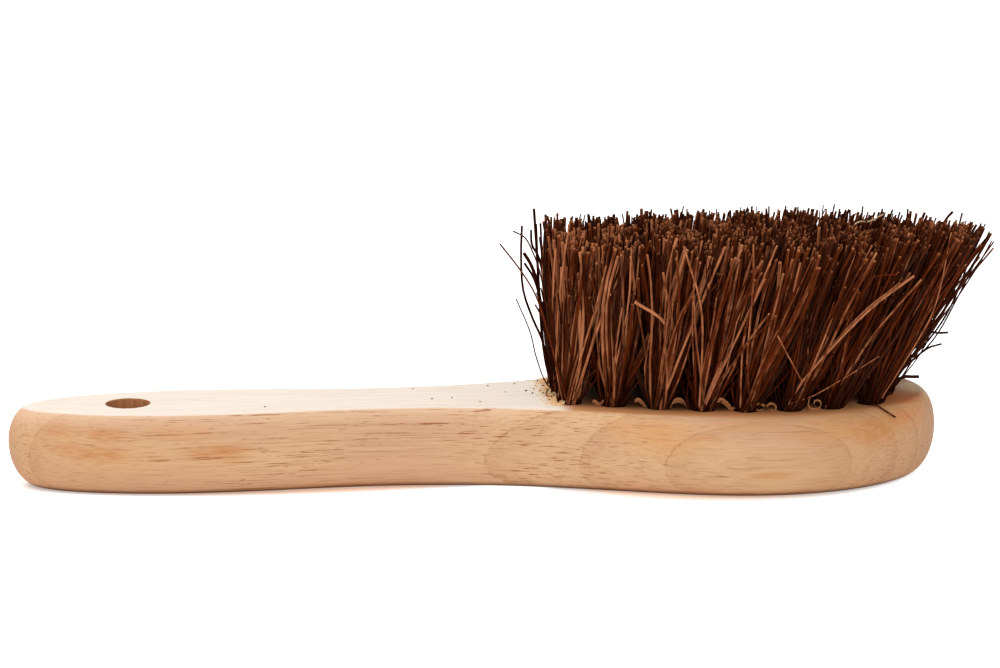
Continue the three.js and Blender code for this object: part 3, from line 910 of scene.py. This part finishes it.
def growVeil(centre, tip, reach, cutTo, toeShare, values, random):
    count = values["perTuft"]
    middle, half = np.array(strands["tipField"])
    outward = (tip - middle) / half**2
    outward /= np.linalg.norm(outward)
    aside = np.array([-outward[1], outward[0]])
    out, along = values["seat"]
    foot = centre + strands["seat"] * (out * outward + random.uniform(-along, along, (count, 1)) * aside)
    aim = tip + reach * random.uniform(*values["out"], (count, 1)) * outward
    aim = aim + random.normal(0, values["aside"], (count, 1)) * aside
    aim = keepOver(strands["tipField"], aim, random, between(values["past"], toeShare))
    rise = riseTo(foot, aim, cutTo + random.normal(*values["uneven"], count))
    paths = strandPaths(foot, aim, rise, random.uniform(*values["kept"], count), strands, random)
    taper = np.linspace(*values["taper"], paths.shape[1])
    radii = random.uniform(*values["radius"], count)[:, None] * taper
    return paths, radii, random.uniform(*values["tone"], count) * between(values["toneScale"], toeShare)


def makeBristles(values):
    random = np.random.default_rng(19)
    tips = tipCentres(tufts, centres)
    gaps = np.linalg.norm(tips[:, None] - tips[None], axis=2) + 1e3 * np.eye(len(tips))
    reaches = gaps.min(1) / 2
    made, first, number = [], 0, 0
    for name, width in zip(tufts["pieces"], tufts["columnsPerPiece"]):
        grown = []
        for column in range(first, first + width):
            toeShare = column / (len(columns) - 1)
            for side in np.linspace(-1, 1, len(columns[column])):
                cutTo = trimmedLength(values, toeShare, side)
                place = centres[number], tips[number], reaches[number], cutTo
                paths, radii, tones = growTuft(*place, number, toeShare, values, random)
                shade = values["farShade"] * smoothStep(*values["farFrom"], side)
                grown.append((paths, radii, tones * (1 - shade)))
                if abs(side) == 1 or column in (0, len(columns) - 1):
                    grown.append(growVeil(*place, toeShare, veil, random))
                if column in (0, len(columns) - 1):
                    grown.append(growVeil(*place, toeShare, edgeVeil, random))
                number += 1
        first += width
        paths, radii, tones = (np.concatenate(parts) for parts in zip(*grown))
        piece = strandPiece("bristles_" + name + "_dense", *tubes(paths, radii, tones, values["sides"]))
        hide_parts("bristles_" + name)
        made.append(piece)
    return made


bristles = makeBristles(strands)
print("bristles made", [len(p.data.polygons) for p in bristles])

# loose strands, root first: radius, tone and points

looseStrands = {
    "heelThin": (0.26, 0.5, [
        (21.2, -17.5, 20), (19.8, -17.7, 32), (17, -17.9, 42.8),
        (13.7, -18.1, 52.9), (9.4, -18.3, 60.1), (4, -18.4, 67.2),
    ]),
    "heelWisp": (0.23, 0.35, [
        (21.2, 0, 20), (18.5, 0, 25.6), (16, 0, 32.6), (14.3, 0, 39.6), (10.5, 0, 48.6),
    ]),
    "heelHook": (0.36, 0.05, [
        (21.4, 0, 20), (19.3, 0, 30.3), (17.6, 0, 37.3), (15.1, 0, 43),
        (12.4, 0, 51.1), (11.8, 0, 60.5), (12, 0, 68.7),
    ]),
    "heelTall": (0.42, 0.05, [
        (21.6, 1, 20), (19.5, 1.1, 27.8), (18.1, 1.3, 35.7),
        (17.2, 1.5, 46.2), (16.4, 1.8, 60), (15.5, 2, 73),
    ]),
    "heelBent": (0.26, 0.4, [
        (22.4, -5, 20), (19.8, -6.7, 35.7), (17.8, -7.3, 48.3), (16, -7.8, 57.4),
        (14.1, -8, 62.7), (11.9, -8.2, 66.9), (8.6, -8.3, 68.8),
    ]),
    "heelDarkA": (0.52, 0.06, [
        (21.8, 2, 20), (20.1, 2, 28.2), (18.7, 2, 39.4),
        (16.4, 2, 52.5), (14.8, 2, 57.5), (12.8, 2, 60.9),
    ]),
    "heelDarkB": (0.4, 0.1, [
        (21.8, 3, 20), (19.8, 4.2, 33.3), (18.2, 4.5, 44.5), (16.2, 4.6, 52.6), (13.3, 4.7, 57.6),
    ]),
    "heelDarkC": (0.38, 0.1, [
        (22.2, 3, 20), (20.3, 8.1, 43.3), (18.4, 10.5, 56.6), (16.2, 11.5, 61.3), (16, 12.3, 65.4),
    ]),
    "heelFarA": (0.42, 0.05, [(22, 11, 20), (20.9, 13, 45.6), (20.2, 14, 69.3)]),
    "heelFarB": (0.38, 0.12, [(23, 12, 20), (22.1, 14, 45.3), (21.9, 15, 68.4)]),
    "heelFarC": (0.34, 0.08, [(21.5, 8, 20), (19.3, 9, 46.4), (18.3, 10, 67.6)]),
    "heelFarD": (0.3, 0.05, [(21.2, 5, 20), (18.1, 6, 44.2), (16.7, 6.5, 68)]),
    "heelFarE": (0.4, 0.1, [(23.8, 13, 20), (23.5, 16, 44.9), (23.9, 17, 69.1)]),
    "heelFarF": (0.33, 0.1, [(21.5, 3, 20), (18.8, 4, 41.8), (18.9, 4.5, 69.2)]),
    "heelLight": (0.2, 0.85, [
        (22, -12.5, 20), (19.8, -14.5, 31.9), (19.7, -16, 43.8),
        (20.2, -17, 53.9), (21.1, -17.5, 62), (22.5, -18.1, 72.5),
    ]),
    "frontA": (0.45, 0.85, [
        (24.4, -14.0, 22.3), (25.9, -15.9, 33.4), (26.4, -19.4, 53.8), (24.9, -21.3, 65.2),
    ]),
    "frontB": (0.36, 0.8, [(24.8, -15.1, 22.5), (31.4, -20.2, 48.1), (37.5, -23.3, 63.7)]),
    "frontC": (0.33, 0.7, [(25.3, -15.1, 22.5), (30.5, -19.5, 45.6), (36.1, -23.2, 65.1)]),
    "frontD": (0.42, 0.95, [(50, -12, 20), (49, -20, 38), (46.5, -27.5, 47.2), (38.4, -30.2, 53.2)]),
    "frontE": (0.32, 0.75, [(56.5, -25.3, 23), (55.9, -32.2, 49.5), (50, -37.2, 69)]),
    "frontF": (0.4, 0.8, [(46.7, -22.2, 22.8), (55.5, -29.8, 50.9), (61.3, -34.5, 68.3)]),
    "frontG": (0.32, 0.8, [(57.3, -25.3, 23), (63.8, -29.5, 38.5), (71.9, -35.2, 59.7)]),
    "frontH": (0.38, 0.7, [(47.3, -22.2, 22.8), (49.6, -26.3, 40.9), (45.6, -31, 61)]),
    "frontI": (0.3, 0.7, [(34.1, -20.3, 23.2), (34.5, -23.7, 39), (35.5, -26.4, 50.9)]),
    "frontJ": (0.28, 0.65, [(44.9, -17, 22.2), (42.8, -20.2, 38.1), (39.8, -23.1, 52.3)]),
    "frontK": (0.3, 0.7, [(67.1, -26.7, 22.9), (67.1, -30.6, 37.1), (67.5, -33.1, 46.5)]),
    "frontL": (0.26, 0.75, [
        (22.3, -17.2, 23.1), (26.1, -20.3, 38.5), (28.9, -22.5, 49.7), (31.4, -25, 62),
    ]),
    "toeA": (0.35, 0.85, [(80.4, -26.6, 22.2), (84.7, -29.4, 31.8), (99.2, -34.9, 50), (111, -38, 60.3)]),
    "toeB": (0.3, 0.75, [
        (80, -26.1, 22.4), (83.9, -28.6, 30.8), (97.4, -33.8, 48.7), (107.7, -36.5, 58.2),
    ]),
    "toeC": (0.19, 0.75, [
        (84, -25.5, 22.4), (85, -27.5, 28.7), (83, -30, 31.7),
        (80.5, -32.5, 35.9), (78.1, -34.5, 39.9), (75.4, -36.5, 44.7),
    ]),
    "toeD": (0.32, 0.8, [(69.3, -26.6, 22.5), (77.1, -32.6, 43.8), (80.5, -38.4, 64.4)]),
    "toeE": (0.3, 0.8, [(57.7, -26.3, 23), (68.3, -34.3, 51.6), (74.1, -39.2, 69.2)]),
    "toeF": (0.16, 0.75, [
        (79.1, -27.5, 22.5), (82.3, -27.7, 24.7), (87.1, -27.8, 26.2),
        (95.9, -28.2, 31.3), (104.6, -28.7, 36.9),
    ]),
    "toeG": (0.2, 0.85, [
        (108.3, -21.5, 24.5), (115.4, -24.4, 38.8), (120.2, -26.7, 50.7), (122.6, -30.7, 70.3),
    ]),
    "toeH": (0.3, 0.7, [(91.4, -24.7, 22.6), (102.4, -30.3, 42.8), (113.8, -34.7, 58.6)]),
    "toeDash": (0.2, 0.45, [(98, -33, 58), (100.3, -37, 60), (103.3, -37, 60.5), (106.7, -37, 60.6)]),
    "toeFarA": (0.34, 0.1, [(117, 4, 20), (125.5, 7, 32), (133.8, 10, 44.5), (139.3, 11, 65.9)]),
    "toeFarB": (0.3, 0.06, [(117, 3, 20), (126, 4.5, 33), (134.2, 6, 45.5), (141.1, 7, 66)]),
    "toeFarC": (0.3, 0.1, [(116, 8, 20), (124.5, 11, 32), (132, 14, 43.8), (137.8, 15, 67.6)]),
    "toeFarD": (0.28, 0.05, [(117.5, 1, 20), (126, 1.5, 33), (133.7, 2, 46), (142.3, 2.5, 64.5)]),
    "blond": (0.24, 1.7, [(101, 5, 58), (104.3, 2.6, 67), (108.4, 2.6, 67.9), (112.3, 2.6, 69.8)]),
    "edgeA": (0.36, 0.05, [
        (113.4, 0, 20), (117.2, 0, 27), (121.7, 0, 33.4),
        (125.5, 0, 36.8), (128.1, 0, 36.7), (130.9, 0, 36.8),
    ]),
    "edgeB": (0.34, 0.1, [
        (113.4, 0, 20), (116.9, 0, 25.2), (121.8, 0, 29.8),
        (125.4, 0, 32.5), (127.6, 0, 33.2), (129.2, 0, 33.6),
    ]),
    "edgeC": (0.5, 0.02, [
        (112, -6, 20), (113.5, -8, 24.7), (116.8, -8, 26.3), (119, -8, 26.3), (121, -8, 26.3),
    ]),
    "heelCurl": (0.28, 0.75, [
        (20, 4.9, 22.2), (18.7, -1.5, 22.2), (19, -4.4, 22.2), (20.4, -3.5, 22.3), (22.6, 0.2, 22.9),
    ]),
    "overEdge": (0.28, 0.5, [
        (103.9, -23.4, 22.4), (105.4, -24.7, 22.4), (107.5, -26.4, 21.2), (110.2, -26.2, 19.4),
    ]),
    "tallToe": (0.4, 0.08, [
        (113, 0, 20), (115.5, 0, 34), (118.5, 0, 43.4),
        (123.7, 0, 56.8), (128.7, 0, 67.6), (131.1, 0, 70.7),
    ]),
}


def smoothPath(points, count):  # a curve through the points, evenly stepped
    p = np.array(points, float)
    p = np.concatenate([[2 * p[0] - p[1]], p, [2 * p[-1] - p[-2]]])
    t = np.linspace(0, len(points) - 1 - 1e-9, count)
    k = t.astype(int)
    u = (t - k)[:, None]
    a, b, c, d = p[k], p[k + 1], p[k + 2], p[k + 3]
    return 0.5 * (2 * b + (c - a) * u + (2 * a - 5 * b + 4 * c - d) * u**2 + (3 * b - a - 3 * c + d) * u**3)


fibreDust = {  # bits of fibre on the face: half length, radius and places
    "heel": ((0.22, 0.45), (0.16, 0.26), [
        (18.5, 15.4), (17.1, 9.8), (13.8, 3.8), (15.2, 0.8), (17.6, 3.4), (18.6, -7.8),
        (19.3, 9.6), (20.4, -11.5), (58.0, -25.4), (18.1, 0.4), (16.2, 6.2),
    ]),
    "handle": ((0.2, 0.36), (0.1, 0.15), [
        (-58.2, -8.1), (-16.9, 9.4), (-7.3, -2.5), (-12.8, -3.2),
        (-0.2, -8.0), (4.0, 11.0), (11.6, 12.7), (8.0, 3.0),
    ]),
}


def makeDust(values):
    random = np.random.default_rng(31)
    mostTurn, mostTilt, sunk, mostTone = 0.9, 0.1, 0.6, 0.2
    steps = np.array([-1.0, -0.4, 0.4, 1.0])[:, None]  # along a bit
    girth = np.array([0.6, 1.0, 0.9, 0.5])
    paths, radii = [], []
    for halfLength, thick, places in values.values():
        for place in places:
            turn = random.uniform(-mostTurn, mostTurn)
            way = np.array([math.cos(turn), math.sin(turn), random.uniform(-mostTilt, mostTilt)])
            radius = random.uniform(*thick)
            middle = np.array([*place, faceZ + sunk * radius])
            paths.append(middle + random.uniform(*halfLength) * steps * way)
            radii.append(radius * girth)
    tones = random.uniform(0.0, mostTone, len(paths))
    return strandPiece("fibre_dust", *tubes(np.array(paths), np.array(radii), tones, strands["looseSides"]))


makeDust(fibreDust)

roots = {
    "lying": ("heelCurl", "overEdge"),  # bits that only lie on the face
    "atFace": 3.0,  # a strand that starts lower than this over the face is rooted
    "fromWall": 0.4,
    "drawIn": 0.7,
    "depth": 2.5,
    "rim": 0.3,  # heights over the face
    "clear": 2.5,
}


def rooted(name, points, values):  # carries a strand on into the nearest tuft's hole
    if name in values["lying"] or points[0][2] > faceZ + values["atFace"]:
        return points
    off = np.array(points[0][:2]) - centres
    away = np.linalg.norm(off, axis=1)
    nearest = np.argmin(away)
    inward = off[nearest] * min(1.0, (tufts["hole"] / 2 - values["fromWall"]) / away[nearest])
    start = (*(centres[nearest] + values["drawIn"] * inward), faceZ - values["depth"])
    rim = (*(centres[nearest] + inward), faceZ + values["rim"])
    return [start, rim, *(p for p in points if p[2] > faceZ + values["clear"])]


def makeLoose(values):
    count, cutLength = 22, 0.02  # steps, and the last one's length as a share of a step
    paths = []
    for name, (_, _, points) in values.items():
        paths.append(smoothPath(rooted(name, points, roots), count))
    paths = np.stack(paths)
    ends = paths[:, -1:] + cutLength * (paths[:, -1:] - paths[:, -2:-1])
    paths = np.concatenate([paths, ends], axis=1)
    radii = np.array([radius for radius, _, _ in values.values()])
    radii = radii[:, None] * np.linspace(1.0, 0.9, count + 1)
    tones = np.array([tone for _, tone, _ in values.values()])
    return strandPiece("loose_strands", *tubes(paths, radii, tones, strands["looseSides"]))


makeLoose(looseStrands)
print("loose strands made")

# shavings and sawdust

shavings = {
    "thick": 0.2,
    "finishes": {  # paler and deeper colour
        "shavings": (paint(206, 146, 98), paint(156, 96, 56)),
        "sawdust": (paint(255, 230, 186), paint(250, 194, 134)),
    },
    "fibreOver": (0.35, 0.65),
    "bump": (0.4, 0.1),  # strength, and depth in millimetres
    "roughness": 0.75,
    "specular": 0.15,
    "sharpFrom": 50.0,  # degrees
    "narrowed": 0.35,  # a curl's ends
    "curlSteps": 5,  # for each point of its line
    "lean": (0.25, 0.75, 0.3, -0.8),  # of its width: turned, across, tipped and down
    "slide": 0.5,
    "curls": [  # width, foot on the face, then the curl's line, across and up
        (1.4, (31.3, -16.6), [(-2.0, 1.7), (-1.3, 1.3), (-0.4, 0.5), (0.4, 0.7), (1.1, 1.4)]),
        (1.6, (42.0, -18.4), [(-1.4, 1.4), (-0.6, 1.9), (0.4, 1.2), (1.2, 0.2)]),
        (2.2, (52.4, -21.4), [(-2.6, 0.9), (-1.8, 2.0), (-0.4, 2.3), (0.9, 1.5), (1.9, 0.2)]),
        (2.2, (63.6, -25.2), [
            (-3.0, 1.9), (-2.0, 2.9), (-0.5, 2.7), (0.8, 1.7), (1.7, 0.5), (2.5, 0.4), (2.6, 1.3),
        ]),
        (0.9, (73.0, -26.8), [(1.1, 1.6), (0.1, 2.1), (-1.0, 1.8), (-1.3, 0.7), (-0.4, 0.1), (0.9, 0.3)]),
        (0.9, (76.0, -27.0), [(-1.2, 1.2), (-0.3, 2.0), (0.8, 1.8), (1.3, 0.7), (0.6, 0.0), (-0.4, 0.5)]),
        (1.0, (88.2, -26.4), [
            (-1.9, 3.0), (-2.1, 1.3), (-1.2, 0.2), (0.4, 0.1),
            (1.4, 0.9), (1.2, 2.2), (0.0, 2.4), (-0.4, 1.4),
        ]),
    ],
    "crumbs": 1000,
    "crumbSize": (0.1, 0.32),
    "crumbsFrom": 22.0,
    "crumbsSpread": 2.1,
    "crumbsAcross": (-15.0, 18.0),
    "crumbHeap": 1.1,  # how high they lie at the tufts
    "crumbShape": ((0.8, 1.6), (0.6, 1.1), (0.4, 0.8)),  # as shares of the size
    "crumbRough": 0.12,
    "crumbSunk": 0.04,
    "toeCrumbs": 110,
    "toeCrumbSize": 0.6,  # as a share of the others' size
    "toeCrumbsAt": ((119.6, -2.5), (0.9, 3.6)),  # middle and spread
}


def makeShavingFinish(name, values):
    material, tree, shader = newMaterial(name + "Finish")
    point, normal = objectPoint(tree)
    masks = useGrain(tree, point, normal)
    color = mixColor(tree, fade(tree, masks["Fibre"], *values["fibreOver"]), *values["finishes"][name])
    wire(tree, shader.inputs["Base Color"], color)
    wire(tree, shader.inputs["Normal"], bumped(tree, masks["Fibre"], *values["bump"]))
    shader.inputs["Roughness"].default_value = values["roughness"]
    shader.inputs["Specular IOR Level"].default_value = values["specular"]
    return material


def ribbon(foot, line, width, thick, twist):
    flat = smoothPath([(u, 0.0, w) for u, w in line], shavings["curlSteps"] * len(line))
    way = np.gradient(flat, axis=0)
    way /= np.linalg.norm(way, axis=1, keepdims=True)
    share = np.linspace(-1, 1, len(flat))[:, None]
    turned, across, tipped, down = shavings["lean"]
    broad = [turned * share * twist, np.full_like(share, across), tipped * share + down]
    broad = np.concatenate(broad, axis=1)
    broad /= np.linalg.norm(broad, axis=1, keepdims=True)
    over = np.cross(way, broad)
    over /= np.linalg.norm(over, axis=1, keepdims=True)
    half = width / 2 * (1 - shavings["narrowed"] * share**2)
    middle = flat + np.array([*foot, faceZ + thick / 2])
    middle = middle + np.array([0.0, shavings["slide"], 0.0]) * share * twist
    corners = []
    for a, b in ((1, 1), (-1, 1), (-1, -1), (1, -1)):
        corners.append(middle + a * half * broad + b * thick / 2 * over)
    return skin(list(np.stack(corners, axis=1)))


def crumb(place, size, lift, random):  # a chip with six corners
    corners = np.array([(1, 0, 0), (-1, 0, 0), (0, 1, 0), (0, -1, 0), (0, 0, 1), (0, 0, -1)], float)
    corners *= size * np.array([random.uniform(*share) for share in shavings["crumbShape"]])
    corners += random.normal(0, shavings["crumbRough"] * size, (6, 3))
    turn = random.uniform(0, 2 * math.pi)
    spin = np.array([[math.cos(turn), -math.sin(turn), 0], [math.sin(turn), math.cos(turn), 0], [0, 0, 1]])
    corners = corners @ spin.T
    faces = [(0, 2, 4), (2, 1, 4), (1, 3, 4), (3, 0, 4), (2, 0, 5), (1, 2, 5), (3, 1, 5), (0, 3, 5)]
    height = faceZ + lift - corners[:, 2].min() - shavings["crumbSunk"] * size
    return corners + np.array([*place, height]), faces


def makeShavings(values):
    random = np.random.default_rng(43)
    made = []
    for number, (width, foot, line) in enumerate(values["curls"]):
        made.append(ribbon(foot, line, width, values["thick"], (-1) ** number))
    curls = newMesh("shavings", *joinSkins(made))
    curls.shade_smooth()
    curls.set_sharp_from_angle(angle=math.radians(values["sharpFrom"]))
    made = []
    for _ in range(values["crumbs"]):
        x = values["crumbsFrom"] - abs(random.normal(0, values["crumbsSpread"]))
        place = x, random.uniform(*values["crumbsAcross"])
        heap = values["crumbHeap"] * random.random() * math.exp(x - values["crumbsFrom"])
        made.append(crumb(place, random.uniform(*values["crumbSize"]), heap, random))
    for _ in range(values["toeCrumbs"]):
        place = random.normal(*values["toeCrumbsAt"])
        size = values["toeCrumbSize"] * random.uniform(*values["crumbSize"])
        made.append(crumb(place, size, 0.0, random))
    for mesh in (curls, newMesh("sawdust", *joinSkins(made))):
        piece = newPiece(mesh.name, mesh, makeShavingFinish(mesh.name, values))
        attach(piece, "root")


makeShavings(shavings)
print("shavings made")

# staples

wireFinish = {
    "dull": paint(150, 150, 150),
    "bare": paint(196, 196, 194),
    "scratches": ((6.0, 6.0, 0.6), 3.0),  # waves and detail
    "bareOver": (0.35, 0.65),
    "roughness": (0.3, 0.7, 0.28, 0.45),
}


def makeSteel(finish):
    material, tree, shader = newMaterial("drawnWire")
    point, _ = objectPoint(tree)
    scratches = noise(tree, point, *finish["scratches"])
    color = mixColor(tree, fade(tree, scratches, *finish["bareOver"]), finish["dull"], finish["bare"])
    wire(tree, shader.inputs["Base Color"], color)
    wire(tree, shader.inputs["Roughness"], fade(tree, scratches, *finish["roughness"]))
    shader.inputs["Metallic"].default_value = 1.0
    return material


steelMaterial = makeSteel(wireFinish)
for name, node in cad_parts.items():
    if name.startswith("staple"):
        node.data.materials.clear()
        node.data.materials.append(steelMaterial)
print("staples finished")

# stage

stage = {
    "floorHalf": 4.0,
    "floorGlow": (0.4, 1.02),  # under the block, and away from it
    "floorColor": (0.9, 0.9, 0.9, 1.0),
    "floorWarm": (0.9, 0.68, 0.54, 1.0),  # painted warm light beside the block, for what the wood throws on it
    "glowFrom": (0.97, 1.08),  # as shares of the shadows' ovals, as the warmth
    "warmTo": (0.86, 0.98),
    "shadows": [  # middle and half size
        ((66.0, 0.0, 0.0), (54.0, 36.9, 1.0)),
        ((-52.0, 0.0, 0.0), (74.5, 17.4, 1.0)),
    ],
    "sky": 0.4,
}


def makeFloor(values):
    half = values["floorHalf"] / mm
    corners = [(-half, -half, 0), (half, -half, 0), (half, half, 0), (-half, half, 0)]
    mesh = newMesh("floor", corners, [(0, 1, 2, 3)])
    material, tree, shader = newMaterial("whiteFloor")
    tree.nodes.remove(shader)
    out = tree.nodes["Material Output"]
    point, _ = objectPoint(tree)
    nearest = None
    for middle, half in values["shadows"]:
        away = awayFrom(tree, point, middle, half)
        nearest = away if nearest is None else calc(tree, "MINIMUM", nearest, away)
    strength = fade(tree, nearest, *values["glowFrom"], *values["floorGlow"])
    strength = calc(tree, "MULTIPLY", seenByRays(tree), strength)
    # painted warm light on the floor next to the block
    bare = fade(tree, nearest, *values["warmTo"])
    color = mixColor(tree, bare, values["floorWarm"], values["floorColor"])
    diffuse = addNode(tree, "ShaderNodeBsdfDiffuse", {"Color": color})
    glow = addNode(tree, "ShaderNodeEmission", {"Color": color, "Strength": strength})
    both = addNode(tree, "ShaderNodeAddShader", {0: diffuse.outputs[0], 1: glow.outputs[0]})
    tree.links.new(both.outputs[0], out.inputs["Surface"])
    newPiece("floor", mesh, material)


def makeWorld(values):
    world = bpy.data.worlds.new("studio")
    world.use_nodes = True
    scene.world = world
    tree = world.node_tree
    tree.nodes["Background"].inputs["Color"].default_value = (1, 1, 1, 1)
    strength = fade(tree, seenByRays(tree), 0.0, 1.0, values["sky"], 1.0)
    wire(tree, tree.nodes["Background"].inputs["Strength"], strength)


lamps = {
    "overhead": {"place": (-0.5, 0.1, 1.0), "aim": (0.0, 0.0, 0.02), "size": (1.0, 0.8), "power": 8.4},
    "front": {"place": (0.25, -1.25, 0.45), "aim": (0.02, 0.0, 0.03), "size": (1.0, 0.6), "power": 5.8},
}


def makeLamp(name, values):
    data = bpy.data.lights.new(name, "AREA")
    data.shape = "RECTANGLE"
    data.size, data.size_y = values["size"]
    data.energy = values["power"]
    lamp = bpy.data.objects.new(name, data)
    lamp.location = values["place"]
    x, y, z = (a - b for a, b in zip(values["aim"], values["place"]))
    lamp.rotation_euler = (math.atan2(math.hypot(x, y), -z), 0.0, math.atan2(y, x) - math.pi / 2)
    scene.collection.objects.link(lamp)


makeFloor(stage)
makeWorld(stage)
for lampName, lampValues in lamps.items():
    makeLamp(lampName, lampValues)
print("stage lit")
